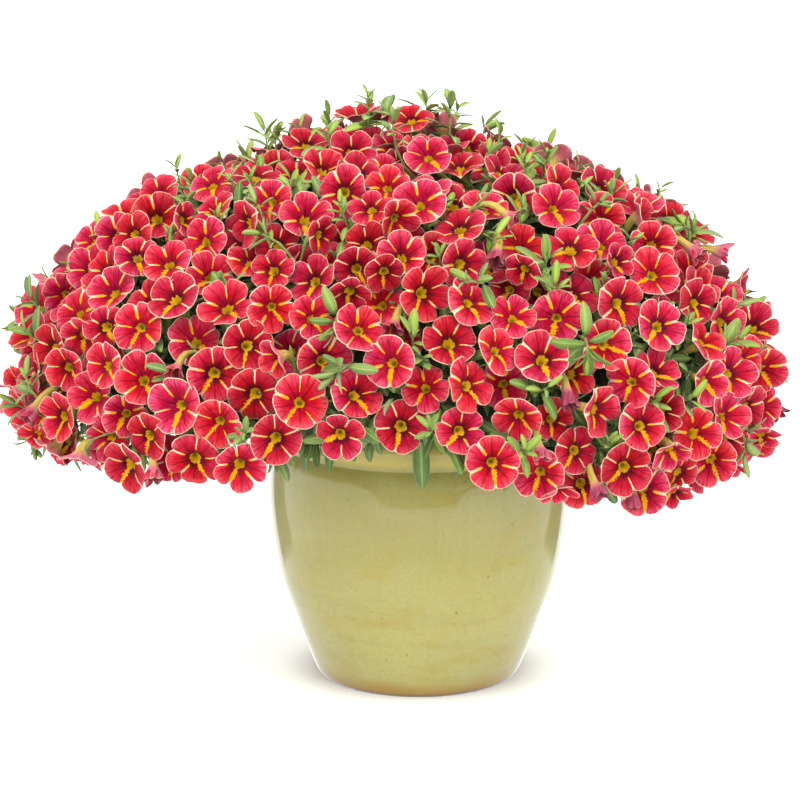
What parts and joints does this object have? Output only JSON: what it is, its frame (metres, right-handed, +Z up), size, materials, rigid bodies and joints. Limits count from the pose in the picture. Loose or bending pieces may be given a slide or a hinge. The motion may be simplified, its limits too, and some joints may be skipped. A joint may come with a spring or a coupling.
{
  "type": "calibrachoa in a glazed pot",
  "caption": "Mounded calibrachoa with red and yellow trumpet flowers on leafy sprays, growing in a round glazed ceramic pot with a rolled rim.",
  "frame": {"origin": "centre of the pot's flat foot, on the surface it stands on", "axes": "+Z up through the pot's axis, X along the plant's widest side, -Y towards the side where the flowers hang least over the pot"},
  "size_m": [0.4916, 0.3874, 0.3622],
  "materials": {
    "glaze": "gloss",
    "potting_mix": "matte",
    "foliage": "satin",
    "petals": "satin"
  },
  "bodies": {
    "root": {"pot": "glaze", "potting_mix": "potting_mix", "leafy_crown": "foliage", "spray_01": "petals", "spray_02": "petals", "spray_03": "petals", "spray_04": "petals", "spray_05": "petals", "spray_06": "petals", "spray_07": "petals", "spray_08": "petals", "spray_09": "petals", "spray_10": "petals", "spray_11": "petals", "spray_12": "petals", "spray_13": "petals", "spray_14": "petals", "spray_15": "petals", "spray_16": "petals", "spray_17": "petals", "spray_18": "petals", "spray_19": "petals", "spray_20": "petals", "spray_21": "petals", "spray_22": "petals", "spray_23": "petals", "spray_24": "petals", "spray_25": "petals", "spray_26": "petals", "spray_27": "petals", "spray_28": "petals", "spray_29": "petals", "spray_30": "petals", "spray_31": "petals", "spray_32": "petals", "spray_33": "petals", "spray_34": "petals", "spray_35": "petals", "spray_36": "petals", "spray_37": "petals", "spray_38": "petals", "spray_39": "petals", "spray_40": "petals", "spray_41": "petals", "spray_42": "petals", "spray_43": "petals", "spray_44": "petals", "spray_45": "petals", "spray_46": "petals"}
  },
  "joints": []
}
